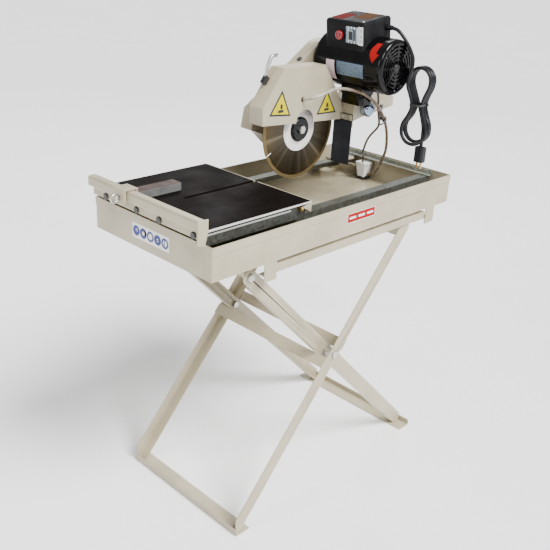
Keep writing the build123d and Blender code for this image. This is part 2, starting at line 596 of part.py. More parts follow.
CORD_EXIT = (207.6, -108.0, 1214.5)
CORD_ROUTE = [(207.6, -129, 1214.4), (208.7, -143.7, 1211.1), (211.4, -155.8, 1200.5),
              (214.9, -166.2, 1188.4), (219.1, -174.5, 1174.9), (223.6, -181, 1160.6),
              (227.6, -186, 1145.5), (231, -190, 1130)]
HANK_OUTLINE = [(-180, 1114), (-187, 1135), (-211, 1135), (-233, 1112), (-228, 1070), (-222, 1040),
                (-240, 1010), (-254, 972), (-248, 946), (-212, 930), (-188, 936), (-170, 962),
                (-174, 1000), (-188, 1040), (-172, 1072)]
PLUG_X, PLUG_Y, PLUG_TOP = 231.0, -238.0, 940.0
HOSE_CLIP = (283.0, -77.0, 969.6)
HOSE_ROUTE = [(8, -25, 1042), (17.9, -47.3, 1047.3), (38.5, -59.6, 1055.5), (63, -60.6, 1062.3),
              (88.3, -59.7, 1066.4), (109.4, -73.1, 1066.8), (126, -92.3, 1063.3),
              (147.4, -103, 1055.5), (170.6, -103.2, 1044.8), (192.9, -102.4, 1032.1),
              (214.5, -100, 1018.5), (235.5, -94, 1005.1), (255.8, -86.6, 991.3), (275.3, -79.7, 976.2),
              (293.8, -73.2, 959.6), (310.7, -67, 941.3), (325.5, -60.7, 921.3), (338.6, -53.9, 900.4),
              (351.5, -45.7, 879.8), (364.5, -35.6, 860.1), (376.1, -23.1, 841), (386.4, -9.2, 822.1),
              (397.3, 4, 803), (407.9, 17.7, 784.1), (414.2, 35.5, 766.9), (415.8, 57.5, 758.3)]
PUMP_CORD_ROUTE = [(231.1, -66, 1072.5), (243.7, -68.7, 1057.3), (251.9, -72.1, 1038.6),
                   (254.9, -73, 1018), (257.2, -72.7, 997.3), (261.4, -74.7, 977),
                   (268.7, -73.5, 957.7), (277.5, -62.3, 942.7), (285.1, -47.5, 930.1),
                   (291.1, -32.8, 916.6), (297.5, -19.4, 901.9), (305.7, -7.6, 886.8),
                   (315.3, 3.2, 871.8), (325.9, 14, 857.5), (337.9, 25.5, 844.9), (352.2, 38.2, 836.7),
                   (368.4, 50.4, 832.1), (386, 60, 826.4), (400.5, 67.4, 814), (404, 71, 794.9)]


def tube_along(route, radius, name):
    """Round tube: straight runs joined by arcs as large as the runs allow."""
    points = [Vector(*point) for point in route]
    radii = []
    for before, here, after in zip(points, points[1:], points[2:]):
        turn = math.radians((here - before).get_angle(after - here))
        shorter = min((here - before).length, (after - here).length)
        radii.append(0.45 * shorter / math.tan(turn / 2))
    path = FilletPolyline(*points, radius=radii)
    tube = sweep(Plane(origin=path @ 0, z_dir=path % 0) * Circle(radius), path)
    straight = math.pi * radius ** 2 * path.length
    print(name, "length", round(path.length), "smallest radius", round(min(radii), 1),
          "volume ratio", round(tube.volume / straight, 3))
    return tube


def make_strain_relief():
    """Tapered boot on the switch box, where the power cord comes out."""
    x, y, z = CORD_EXIT
    boot = Pos(x, y - 10, z) * Rot(90, 0, 0) * Cone(8, 5.5, 20)
    return boot - disc_y(x, z, y - 21, y - 19.9, CORD_RADIUS)


def make_cord_hank():
    """Outer shape of the tied loops of spare power cord."""
    hank = slab_x(make_face(Spline(*HANK_OUTLINE, periodic=True)), PLUG_X - 13, PLUG_X + 13)
    return hank - block(PLUG_X - 20, PLUG_X + 20, PLUG_Y - 30, PLUG_Y + 14, 900, PLUG_TOP - 4)


def make_power_plug():
    """Moulded plug with two flat blades and a round earth pin, hanging below the loops."""
    body = block(PLUG_X - 11, PLUG_X + 11, PLUG_Y - 13, PLUG_Y + 13, PLUG_TOP - 42, PLUG_TOP - 4)
    body = fillet(body.edges().filter_by(Axis.Z), 6)
    low = PLUG_TOP - 42
    blades = [block(PLUG_X - 3, PLUG_X + 3, PLUG_Y + s - 0.8, PLUG_Y + s + 0.8, low - 17, low) for s in (-6, 6)]
    return [body] + blades + [disc_z(PLUG_X + 7.5, PLUG_Y, low - 20, low, 2.3)]


# ---------------------------------------------------------------- folding stand


def hinge_pin():
    """Place of the hinge between the tub and the inner frame."""
    turn = math.radians(INNER_ANGLE)
    return CROSS_X - INNER_UP * math.cos(turn), CROSS_Z + INNER_UP * math.sin(turn)


def along_leg(outer, along, across):
    """A point of a leg: along it from the crossing, and across it towards its upper side."""
    turn = math.radians(OUTER_ANGLE if outer else 180 - INNER_ANGLE)
    up_side = 1 if outer else -1
    x = CROSS_X + along * math.cos(turn) - up_side * across * math.sin(turn)
    return x, CROSS_Z + along * math.sin(turn) + up_side * across * math.cos(turn)


def leg_strip(outer, low, high, v0, v1, y0, y1):
    """Flat strip along a leg between two distances along it and two across it."""
    corners = [(low, v0), (high, v0), (high, v1), (low, v1)]
    return plate_y([along_leg(outer, along, across) for along, across in corners], y0, y1)


def make_outer_legs():
    """Two angle legs of the outer frame, trimmed at the foot bar and below the top bar."""
    half = LEG_WIDTH / 2
    web = leg_strip(True, -560, 440, -half, half, OUTER_FACE - LEG_SHEET, OUTER_FACE)
    flange = leg_strip(True, -560, 440, -half, LEG_SHEET - half, OUTER_FACE - LEG_FLANGE, OUTER_FACE)
    leg = (web + flange) & block(OUTER_FOOT_X + LEG_SHEET, 400, 0, 300, LEG_SHEET, OUTER_TOP)
    leg -= disc_y(CROSS_X, CROSS_Z, 200, 215, PIVOT_RADIUS + FIT)
    return both_sides(leg)


def make_inner_legs():
    """Two angle legs of the inner frame, rounded at the hinge and trimmed at the foot bar."""
    half = LEG_WIDTH / 2
    web = leg_strip(False, -620, INNER_UP, -half, half, INNER_FACE - LEG_SHEET, INNER_FACE)
    pin_x, pin_z = hinge_pin()
    web += disc_y(pin_x, pin_z, INNER_FACE - LEG_SHEET, INNER_FACE, half)
    flange = leg_strip(False, -620, INNER_UP - 30, -half, LEG_SHEET - half,
                       INNER_FACE - LEG_FLANGE, INNER_FACE)
    leg = (web + flange) & block(-400, INNER_FOOT_X - LEG_SHEET, 0, 300, LEG_SHEET, 800)
    for x, z in ((CROSS_X, CROSS_Z), (pin_x, pin_z)):
        leg -= disc_y(x, z, INNER_FACE - 5, INNER_FACE + 2, PIVOT_RADIUS)
    return both_sides(leg)


def foot_bar(edge_x, inward):
    """Angle on the floor: a flat flange, and a lip turned up at its outer edge."""
    x0, x1 = sorted((edge_x, edge_x + inward * FOOT_BAR_WIDTH))
    lip0, lip1 = sorted((edge_x, edge_x + inward * LEG_SHEET))
    bar = block(x0, x1, -FOOT_BAR_HALF, FOOT_BAR_HALF, 0, LEG_SHEET)
    return bar + block(lip0, lip1, -FOOT_BAR_HALF, FOOT_BAR_HALF, LEG_SHEET, FOOT_LIP)


def make_outer_cross_bars():
    """Foot bar, top bar and the two stop bars beside the crossing."""
    half, inside = LEG_WIDTH / 2, OUTER_FACE - LEG_SHEET
    top_x = CROSS_X + OUTER_UP * math.cos(math.radians(OUTER_ANGLE))
    top = block(top_x - 20, top_x + 20, -OUTER_FACE, OUTER_FACE, OUTER_TOP, OUTER_TOP + 3)
    top += block(top_x - 20, top_x - 17, -inside, inside, OUTER_TOP - 22, OUTER_TOP)
    gap = half + 0.6
    stop_a = leg_strip(True, -gap - 30, -gap, gap, gap + 3, -inside, inside)
    stop_b = leg_strip(True, gap, gap + 30, -gap - 3, -gap, -inside, inside)
    tabs = []
    for y0, y1 in ((-OUTER_FACE, -inside), (inside, OUTER_FACE)):
        tabs.append(leg_strip(True, -gap - 30, -gap, half, gap + 3, y0, y1))
        tabs.append(leg_strip(True, gap, gap + 30, -gap - 3, -half, y0, y1))
    stop_a += tabs[0] + tabs[2]
    stop_b += tabs[1] + tabs[3]
    return [foot_bar(OUTER_FOOT_X, 1), top, stop_a, stop_b]


def make_inner_cross_bars():
    """Foot bar, and the bar that ties the inner legs together below the hinge."""
    inside, half = INNER_FACE - LEG_SHEET, LEG_WIDTH / 2
    tie = leg_strip(False, 330, 362, half - 6, half - 3, -inside, inside)
    return [foot_bar(INNER_FOOT_X, -1), tie]


def make_leg_pivots():
    """Bolts of the crossing and of the hinge, with their spacers, heads and nuts."""
    pivots = []
    inner = INNER_FACE - LEG_SHEET
    bolt = disc_y(CROSS_X, CROSS_Z, inner - 8, OUTER_FACE + 1, PIVOT_RADIUS)
    bolt += disc_y(CROSS_X, CROSS_Z, OUTER_FACE + 0.4, OUTER_FACE + 4.5, 9)
    bolt += disc_y(CROSS_X, CROSS_Z, inner - 8, inner, 9)
    bolt += disc_y(CROSS_X, CROSS_Z, INNER_FACE, OUTER_FACE - LEG_SHEET - 0.5, 9)
    pivots += both_sides(bolt)
    pin_x, pin_z = hinge_pin()
    pin = disc_y(pin_x, pin_z, inner - 9, INNER_FACE + 7, PIVOT_RADIUS)
    pin += disc_y(pin_x, pin_z, INNER_FACE, INNER_FACE + 7, 9)
    pin += disc_y(pin_x, pin_z, inner - 13, inner - 5.5, 8)
    return pivots + both_sides(pin)


def build():
    """Write every node."""
    save("tub", make_tub())
    save("tub_supports", *make_tub_supports())
    save("cart_rails", *make_cart_rails())
    save("rail_cross_bars", *make_rail_cross_bars())
    save("head_column", make_head_column())
    save("pivot_pin", make_pivot_pin())
    save("pump", *make_pump())
    save("lock_knob", make_lock_knob())

    save("table_mat", make_table_mat())
    save("table_tray", make_table_tray())
    save("table_trims", *make_table_trims())
    save("table_channels", *make_table_channels())
    save("front_wheels", make_wheelset(WHEEL_XS[0]))
    save("rear_wheels", make_wheelset(WHEEL_XS[1]))
    save("backstop", make_backstop())
    save("backstop_bolts", *make_backstop_bolts())
    save("rip_guide", make_rip_guide())
    save("guide_clamp", make_guide_clamp())
    save("clamp_screw", make_clamp_screw())

    save("head_arm", make_head_arm())
    save("bearing_housing", make_bearing_housing())
    save("arbor_bearings", *make_arbor_bearings())
    save("arbor_shaft", *make_arbor_shaft())
    save("blade_flanges", *make_blade_flanges())
    core, rim = make_blade()
    save("blade_core", core)
    save("blade_rim", rim)
    save("arbor_pulley", make_pulley(ARBOR_X, ARBOR_Z, ARBOR_PULLEY, ARBOR_RADIUS))
    save("motor_pulley", make_pulley(MOTOR_X, MOTOR_Z, MOTOR_PULLEY, 8))
    save("v_belt", make_v_belt())
    plate, cover = make_belt_guard()
    save("belt_guard_plate", plate)
    save("belt_guard_cover", cover)
    save("belt_guard_bolts", *make_belt_guard_bolts())
    save("blade_guard", make_blade_guard())
    rod, grip = make_lift_handle()
    save("lift_rod", rod)
    save("lift_block", grip)
    save("splash_flap", make_splash_flap())
    save("flap_clamp", *make_flap_clamp())
    save("hose_clip", make_hose_clip())

    save("motor_shell", make_motor_shell())
    save("motor_front_bell", make_front_bell())
    save("motor_fan_grille", make_fan_grille())
    save("stator", make_stator())
    save("rotor", *make_rotor())
    save("motor_base", make_motor_base())
    save("motor_cradle", make_motor_cradle())
    save("switch_box", make_switch_box())
    save("switch_plate", make_switch_plate())
    save("stop_button", make_stop_button())
    save("start_button", make_start_button())

    save("strain_relief", make_strain_relief())
    hank = make_cord_hank()
    save("power_cord", tube_along(CORD_ROUTE, CORD_RADIUS, "power cord") - hank)
    save("cord_hank", hank)
    save("power_plug", *make_power_plug())
    save("water_hose", tube_along(HOSE_ROUTE, HOSE_RADIUS, "water hose"))
    save("pump_cord", tube_along(PUMP_CORD_ROUTE, PUMP_CORD_RADIUS, "pump cord"))

    save("outer_legs", *make_outer_legs())
    save("outer_cross_bars", *make_outer_cross_bars())
    save("inner_legs", *make_inner_legs())
    save("inner_cross_bars", *make_inner_cross_bars())
    save("leg_pivots", *make_leg_pivots())


build()
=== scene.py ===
"""Wet masonry saw on a folding stand: materials, cords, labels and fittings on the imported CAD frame."""
import json
import math

import bmesh
import bpy
from mathutils import Matrix, Vector


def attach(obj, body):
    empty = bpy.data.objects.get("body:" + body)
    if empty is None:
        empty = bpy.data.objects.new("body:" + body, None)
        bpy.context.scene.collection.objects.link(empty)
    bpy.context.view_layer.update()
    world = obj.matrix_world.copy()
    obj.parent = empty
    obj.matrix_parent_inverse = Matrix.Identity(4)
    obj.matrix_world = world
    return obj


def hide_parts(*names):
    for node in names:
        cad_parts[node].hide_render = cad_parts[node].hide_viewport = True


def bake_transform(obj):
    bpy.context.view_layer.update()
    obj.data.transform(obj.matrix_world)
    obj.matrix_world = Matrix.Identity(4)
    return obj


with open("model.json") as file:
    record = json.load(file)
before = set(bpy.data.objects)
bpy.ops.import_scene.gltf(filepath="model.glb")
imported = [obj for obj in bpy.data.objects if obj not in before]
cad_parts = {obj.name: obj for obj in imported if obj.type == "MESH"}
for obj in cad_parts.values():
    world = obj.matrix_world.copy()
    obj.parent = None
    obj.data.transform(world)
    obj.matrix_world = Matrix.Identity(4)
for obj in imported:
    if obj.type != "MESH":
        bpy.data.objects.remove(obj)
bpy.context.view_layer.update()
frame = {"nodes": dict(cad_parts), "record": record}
NODES = frame["nodes"]

# Places in the drawing, in millimetres. Its X = 0 is the middle of the tub.
ORIGIN_SHIFT = 29.0
ARBOR = (28, 0, 961)
MOTOR_X, MOTOR_Z, MOTOR_RADIUS = 187, 1125, 68.0
MOTOR_FAN_Y = -168
GUARD_NEAR_Y = -25
TUB_END_X, TUB_SIDE_Y = -443, -209.5
BOX_LEAN = math.radians(8)  # of the switch box, round the motor's shaft


def at(x, y, z):
    """A point of the drawing, in millimetres, as a point of the row frame."""
    return Vector(((x + ORIGIN_SHIFT) / 1000, y / 1000, z / 1000))


# ------------------------------------------------------------------ materials


class Finish:
    """A material on one Principled shader, with short names for its texture nodes."""

    def __init__(self, name, roughness=0.5, metallic=0.0, **direct):
        self.material = bpy.data.materials.new(name)
        self.material.use_nodes = True
        self.tree = self.material.node_tree
        self.shader = self.tree.nodes["Principled BSDF"]
        self.set("Roughness", roughness)
        self.set("Metallic", metallic)
        for socket, value in direct.items():
            self.set(socket.replace("_", " ").replace(" ior", " IOR"), value)
        self.coordinates = self.tree.nodes.new("ShaderNodeTexCoord").outputs["Object"]

    def set(self, socket, value):
        """A number or colour on the shader's own socket, or a link to it."""
        target = self.shader.inputs[socket]
        if isinstance(value, bpy.types.NodeSocket):
            self.tree.links.new(value, target)
        else:
            target.default_value = value

    def node(self, kind, inputs=(), **properties):
        """A shader node with its inputs set or linked."""
        made = self.tree.nodes.new("ShaderNode" + kind)
        for key, value in properties.items():
            setattr(made, key, value)
        for key, value in dict(inputs).items():
            if isinstance(value, bpy.types.NodeSocket):
                self.tree.links.new(value, made.inputs[key])
            else:
                made.inputs[key].default_value = value
        return made

    def noise(self, scale, detail=4.0, stretch=(1, 1, 1), rough=0.55):
        """Noise over the object's own coordinates, in metres."""
        place = self.node("Mapping", {"Vector": self.coordinates, "Scale": stretch})
        return self.node("TexNoise", {"Vector": place.outputs[0], "Scale": scale, "Detail": detail,
                                      "Roughness": rough}).outputs["Fac"]

    def noise_along(self, value, scale):
        """Noise that changes with one value only."""
        line = self.node("CombineXYZ", {"X": value}).outputs[0]
        return self.node("TexNoise", {"Vector": line, "Scale": scale, "Detail": 3.0}).outputs["Fac"]

    def cells(self, scale):
        """A pattern of cells, as a node with several outputs."""
        return self.node("TexVoronoi", {"Vector": self.coordinates, "Scale": scale})

    def bands(self, scale, distortion, detail):
        """Bands across the Y axis."""
        inputs = {"Vector": self.coordinates, "Scale": scale, "Distortion": distortion, "Detail": detail}
        return self.node("TexWave", inputs, wave_type="BANDS", bands_direction="Y").outputs["Fac"]

    def axis(self, name):
        """The coordinate X, Y or Z."""
        return self.node("SeparateXYZ", {"Vector": self.coordinates}).outputs[name]

    def ramp(self, factor, *stops):
        """A colour from a factor, by stops of (place, colour)."""
        made = self.node("ValToRGB", {"Fac": factor})
        points = made.color_ramp.elements
        while len(points) < len(stops):
            points.new(0.5)
        for point, (place, colour) in zip(points, stops):
            point.position, point.color = place, (*colour, 1)
        return made.outputs["Color"]

    def spread(self, factor, low, high, source=(0.3, 0.7)):
        """Map the range source of a factor onto low to high."""
        return self.node("MapRange", {"Value": factor, "From Min": source[0], "From Max": source[1],
                                      "To Min": low, "To Max": high}).outputs["Result"]

    def mix(self, factor, first, second, blend="MIX"):
        """Two colours mixed by a factor."""
        made = self.node("MixRGB", {"Fac": factor, "Color1": first, "Color2": second}, blend_type=blend)
        return made.outputs["Color"]

    def math(self, operation, *values):
        """One step of arithmetic on numbers or sockets."""
        return self.node("Math", dict(enumerate(values)), operation=operation).outputs[0]

    def bump(self, height, strength=0.3, distance=0.0005, under=None):
        """Bump the surface by a height, on top of another bump where one is given."""
        inputs = {"Height": height, "Strength": strength, "Distance": distance}
        if under is not None:
            inputs["Normal"] = under
        result = self.node("Bump", inputs).outputs["Normal"]
        self.set("Normal", result)
        return result


def cream_enamel(name="cream_enamel", tint=(1, 1, 1), gloss=0.30):
    """Baked enamel on folded sheet: faint orange peel, soft dust and small dark specks."""
    f = Finish(name, Coat_Weight=0.25, Coat_Roughness=0.22)
    tones = ((0.325, 0.280, 0.188), (0.382, 0.334, 0.230), (0.425, 0.376, 0.264))
    shaded, middle, lit = (tuple(a * b for a, b in zip(tone, tint)) for tone in tones)
    colour = f.ramp(f.noise(9, 5), (0.28, shaded), (0.5, middle), (0.72, lit))
    specks = f.ramp(f.noise(420, 2), (0.70, (0, 0, 0)), (0.76, (1, 1, 1)))
    f.set("Base Color", f.mix(f.math("MULTIPLY", specks, 0.22), colour, (0.25, 0.2, 0.13, 1)))
    f.set("Roughness", f.spread(f.noise(26, 6), gloss, gloss + 0.16))
    f.bump(f.noise(520, 2), 0.08, 0.0003)
    return f.material


def galvanised(name="galvanised", shade=1.0):
    """Dull zinc with crystal spangles and a green-grey cast."""
    f = Finish(name, metallic=0.75)
    spangle = f.cells(160).outputs["Color"]
    grey = f.node("RGBToBW", {"Color": spangle}).outputs[0]
    tones = ((0.085, 0.10, 0.09), (0.17, 0.185, 0.17), (0.14, 0.115, 0.08))
    dark, light, stained = (tuple(shade * c for c in tone) for tone in tones)
    colour = f.ramp(grey, (0.1, dark), (0.9, light))
    f.set("Base Color", f.mix(f.spread(f.noise(14), 0, 0.45), colour, (*stained, 1)))
    f.set("Roughness", f.spread(grey, 0.36, 0.55, (0, 1)))
    f.bump(f.noise(300, 3), 0.1)
    return f.material


def bright_steel(name="bright_steel", shade=0.55, rough=0.22):
    """Plated or machined steel with fine turning marks and finger-dulled patches."""
    f = Finish(name, metallic=1.0)
    marks = f.noise(60, 3, (1, 30, 1))
    dark, light = (shade * 0.8,) * 3, (shade * 1.15, shade * 1.15, shade * 1.1)
    f.set("Base Color", f.ramp(marks, (0.3, dark), (0.7, light)))
    f.set("Roughness", f.spread(f.noise(45, 5), rough, rough + 0.2))
    f.bump(marks, 0.06, 0.0002)
    return f.material


def blade_steel():
    """Ground blade steel: fine concentric grinding, radial glints from the lamps, painted glint streaks round
    the hub, heat-bronzed toward the rim.
    """
    f = Finish("blade_steel", metallic=1.0, Anisotropic=0.82)
    local = f.node("VectorMath", {0: f.coordinates, 1: at(*ARBOR)}, operation="SUBTRACT").outputs[0]
    outward = f.node("VectorTransform", {"Vector": local}, vector_type="VECTOR", convert_from="OBJECT",
                     convert_to="WORLD").outputs[0]
    f.set("Tangent", outward)
    radius = f.node("VectorMath", {0: local}, operation="LENGTH").outputs["Value"]
    tone = f.ramp(f.spread(radius, 0, 1, (0.03, 0.127)), (0.0, (0.115, 0.105, 0.088)),
                  (0.55, (0.115, 0.099, 0.070)), (0.92, (0.15, 0.112, 0.060)), (1.0, (0.22, 0.16, 0.070)))
    rings = f.noise_along(radius, 1500.0)
    parts = f.node("SeparateXYZ", {"Vector": local}).outputs
    # Painted glints: bright streaks round the hub, with darker painted bands between them, multiplied into
    # the base colour.
    around = f.noise_along(f.math("ARCTAN2", parts["Z"], parts["X"]), 3.2)
    streaks = f.ramp(around, (0.36, (0.40, 0.38, 0.36)), (0.56, (0.72, 0.69, 0.65)),
                     (0.70, (1.9, 1.95, 1.95)))
    tone_with_painted_glints = f.mix(1.0, tone, streaks, "MULTIPLY")
    f.set("Base Color", f.mix(f.spread(rings, 0.0, 0.35), tone_with_painted_glints, (0.05, 0.04, 0.03, 1)))
    f.set("Roughness", f.spread(rings, 0.24, 0.38))
    f.bump(rings, 0.05, 0.0001)
    return f.material


def sintered_rim():
    """Diamond grit in bronze."""
    f = Finish("sintered_rim", metallic=0.85)
    grit = f.cells(1100).outputs["Distance"]
    f.set("Base Color", f.ramp(f.noise(700, 3), (0.3, (0.13, 0.09, 0.04)), (0.7, (0.33, 0.24, 0.11))))
    f.set("Roughness", f.spread(f.noise(60), 0.42, 0.62))
    f.bump(grit, 0.5, 0.0004)
    return f.material


def extruded_aluminium():
    """Bright aluminium with drawing lines along its length."""
    f = Finish("aluminium", metallic=1.0)
    lines = f.noise(300, 2, (0.05, 1, 6))
    f.set("Base Color", f.ramp(lines, (0.3, (0.62, 0.62, 0.60)), (0.7, (0.86, 0.86, 0.84))))
    f.set("Roughness", f.spread(f.noise(30, 4), 0.24, 0.42))
    f.bump(lines, 0.05, 0.0002)
    return f.material


def cast_iron():
    """Dark cast metal with a sandy skin."""
    f = Finish("cast_iron", metallic=0.6)
    f.set("Base Color", f.ramp(f.noise(80), (0.3, (0.05, 0.05, 0.05)), (0.7, (0.14, 0.135, 0.13))))
    f.set("Roughness", f.spread(f.noise(90), 0.5, 0.75))
    f.bump(f.noise(500, 4), 0.45, 0.0005)
    return f.material


def brass():
    """Turned brass, dulled in patches."""
    f = Finish("brass", metallic=1.0)
    f.set("Base Color", f.ramp(f.noise(50, 5), (0.3, (0.40, 0.26, 0.10)), (0.7, (0.78, 0.56, 0.24))))
    f.set("Roughness", f.spread(f.noise(70), 0.2, 0.4))
    f.bump(f.noise(300, 2, (1, 12, 1)), 0.08, 0.0002)
    return f.material


def rubber(name, dark, light, rough=(0.5, 0.7), grain=700, depth=0.35):
    """Moulded rubber or soft plastic with a fine grain and pale dust in patches."""
    f = Finish(name, Specular_ior_Level=0.25)
    f.set("Base Color", f.ramp(f.noise(22, 6), (0.3, dark), (0.75, light)))
    f.set("Roughness", f.spread(f.noise(35, 4), *rough))
    f.bump(f.noise(grain, 3), depth, 0.0003)
    return f.material


def table_mat():
    """Brown-black sheet rubber with fine ribs along the table and dusty streaks."""
    f = Finish("table_rubber", Specular_ior_Level=0.05)
    ribs = f.bands(32.0, 0.0, 0.0)
    dust = f.noise(7, 6, (1, 2.5, 1))
    f.set("Base Color", f.ramp(dust, (0.30, (0.0020, 0.0012, 0.0011)), (0.55, (0.0042, 0.0027, 0.0024)),
                               (0.78, (0.0085, 0.0058, 0.0048))))
    f.set("Roughness", f.spread(f.noise(12, 6), 0.50, 0.70))
    fine = f.bump(f.noise(380, 3), 0.2, 0.0003)
    f.bump(ribs, 0.12, 0.0004, fine)
    return f.material


def gloss_black():
    """Thick black enamel on a rolled shell, with faint waviness and a little dust."""
    f = Finish("gloss_black", Coat_Weight=0.12, Coat_Roughness=0.05, Specular_ior_Level=0.16)
    dark, dusty = (0.0012, 0.0012, 0.0014), (0.0035, 0.0035, 0.0045)
    f.set("Base Color", f.ramp(f.noise(40, 6), (0.35, dark), (0.8, dusty)))
    f.set("Roughness", f.spread(f.noise(60, 5), 0.10, 0.26))
    f.bump(f.noise(160, 3), 0.10, 0.0004)
    return f.material


def moulded(name, low, high, rough=(0.28, 0.42), coat=0.0, specular=0.5):
    """Moulded plastic with a fine grain."""
    f = Finish(name, Coat_Weight=coat, Specular_ior_Level=specular)
    f.set("Base Color", f.ramp(f.noise(35, 4), (0.3, low), (0.7, high)))
    f.set("Roughness", f.spread(f.noise(60, 3), *rough))
    f.bump(f.noise(900, 2), 0.12, 0.0002)
    return f.material


def clear_vinyl():
    """Soft clear hose: pale where it leaves the guard, partly the vinyl's own clouded tone and partly a
    painted highlight, gone tan lower down.
    """
    f = Finish("clear_vinyl", Transmission_Weight=0.30, IOR=1.45)
    # Pale tone near the guard: clouded vinyl together with a painted highlight along the hose.
    pale_and_painted_highlight = f.ramp(f.noise(60, 6), (0.3, (0.34, 0.29, 0.22)), (0.7, (0.62, 0.58, 0.50)))
    tan = f.ramp(f.noise(60, 6), (0.3, (0.10, 0.062, 0.036)), (0.5, (0.18, 0.12, 0.075)),
                 (0.68, (0.34, 0.26, 0.19)))
    f.set("Base Color", f.mix(f.spread(f.axis("X"), 0, 1, (0.10, 0.16)), pale_and_painted_highlight, tan))
    f.set("Roughness", f.spread(f.noise(90), 0.12, 0.26))
    f.bump(f.noise(200, 2), 0.1, 0.0003)
    return f.material


def banded_foil():
    """Bluish printed foil with upright bands."""
    f = Finish("banded_foil", metallic=0.55)
    bands = f.bands(34.0, 0.4, 1.0)
    f.set("Base Color", f.ramp(bands, (0.25, (0.10, 0.15, 0.20)), (0.6, (0.42, 0.50, 0.56)),
                               (0.9, (0.62, 0.66, 0.68))))
    f.set("Roughness", f.spread(f.noise(120, 3), 0.24, 0.4))
    f.bump(bands, 0.08, 0.0002)
    return f.material


def blued_chrome():
    """Polished plating with a cold tint."""
    f = Finish("blued_chrome", metallic=1.0)
    f.set("Base Color", f.ramp(f.noise(30, 3), (0.3, (0.20, 0.27, 0.40)), (0.7, (0.46, 0.54, 0.66))))
    f.set("Roughness", f.spread(f.noise(60, 4), 0.10, 0.22))
    f.bump(f.noise(200, 2), 0.05, 0.0002)
    return f.material


def printed(name, colour, rough=0.35, metallic=0.0, specular=0.5):
    """Printed foil or vinyl: even ink with faint scuffs."""
    f = Finish(name, metallic=metallic, Specular_ior_Level=specular)
    low = tuple(0.82 * c for c in colour)
    f.set("Base Color", f.ramp(f.noise(130, 5), (0.3, low), (0.6, colour)))
    f.set("Roughness", f.spread(f.noise(200, 4), rough, rough + 0.2))
    f.bump(f.noise(900, 2), 0.04, 0.0001)
    return f.material


CREAM = cream_enamel()
BLACK_RUBBER = rubber("cord_rubber", (0.004, 0.0045, 0.006), (0.011, 0.012, 0.015), (0.30, 0.45), 600, 0.15)
FINISHES = {
    "cream_paint": CREAM,
    "black_paint": gloss_black(),
    "zinc_steel": galvanised(),
    "bright_steel": bright_steel(),
    "blade_steel": blade_steel(),
    "diamond_rim": sintered_rim(),
    "aluminium": extruded_aluminium(),
    "cast_iron": cast_iron(),
    "brass": brass(),
    "black_rubber": BLACK_RUBBER,
    "table_rubber": table_mat(),
    "black_plastic": moulded("black_plastic", (0.010, 0.010, 0.011), (0.022, 0.022, 0.023)),
    "white_plastic": moulded("white_plastic", (0.70, 0.70, 0.69), (0.84, 0.84, 0.83), (0.2, 0.3)),
    "red_plastic": moulded("red_plastic", (0.17, 0.004, 0.007), (0.25, 0.008, 0.011), (0.2, 0.3), 0.2),
    "grey_plastic": moulded("grey_bar", (0.085, 0.088, 0.086), (0.150, 0.152, 0.148), (0.4, 0.6)),
    "clear_vinyl": clear_vinyl(),
    "brown_vinyl": rubber("brown_vinyl", (0.050, 0.033, 0.021), (0.125, 0.088, 0.060), (0.26, 0.4), 500, 0.1),
}
SLOT_OF = {row["node"]: row["material_slot"] for row in frame["record"]["subparts"]}

# Widths of the rounded edges, by node, in metres.
SOFTENED = {
    "tub": 0.0008, "blade_guard": 0.0011, "head_arm": 0.0012, "head_column": 0.0015,
    "belt_guard_cover": 0.0025, "outer_legs": 0.0009, "inner_legs": 0.0009, "outer_cross_bars": 0.0009,
    "inner_cross_bars": 0.0009, "tub_supports": 0.0009, "table_tray": 0.0007, "table_mat": 0.0008,
    "table_trims": 0.0005, "backstop": 0.0006, "rip_guide": 0.0008, "guide_clamp": 0.0012,
    "cart_rails": 0.0006, "rail_cross_bars": 0.0007, "switch_plate": 0.0006, "motor_base": 0.0025,
    "motor_cradle": 0.0012, "lift_block": 0.0015, "flap_clamp": 0.0005, "start_button": 0.001,
    "table_channels": 0.0006, "arbor_shaft": 0.0006,
}


def dress(obj, material):
    """Give an object one material on all its faces."""
    obj.data.materials.clear()
    obj.data.materials.append(material)


def soften(obj, width):
    """Small rounded edges that catch the light, without changing the part's size."""
    weld = obj.modifiers.new("weld", "WELD")
    weld.merge_threshold = 0.00001
    bevel = obj.modifiers.new("edge", "BEVEL")
    bevel.width, bevel.segments, bevel.limit_method = width, 2, "ANGLE"
    bevel.angle_limit, bevel.harden_normals, bevel.use_clamp_overlap = math.radians(40), False, True


def repaint(node_name, material, chosen):
    """Give another material to the faces whose middle, in drawing millimetres, is chosen."""
    data = NODES[node_name].data
    data.materials.append(material)
    for polygon in data.polygons:
        x, y, z = polygon.center * 1000
        if chosen(x - ORIGIN_SHIFT, y, z):
            polygon.material_index = len(data.materials) - 1


for node_name, node in NODES.items():
    dress(node, FINISHES[SLOT_OF[node_name]])
dress(NODES["switch_box"], moulded("box_black", (0.006, 0.006, 0.007), (0.014, 0.014, 0.015), (0.45, 0.6),
                                   specular=0.06))
dress(NODES["switch_plate"], banded_foil())
dress(NODES["lock_knob"], blued_chrome())
for node_name in ("backstop_bolts", "belt_guard_bolts"):
    dress(NODES[node_name], bright_steel(node_name + "_steel", 0.09, 0.35))
dress(NODES["guide_clamp"], CREAM)
dress(NODES["splash_flap"], rubber("flap_rubber", (0.014, 0.015, 0.020), (0.030, 0.032, 0.040), (0.42, 0.6),
                                   420, 0.4))

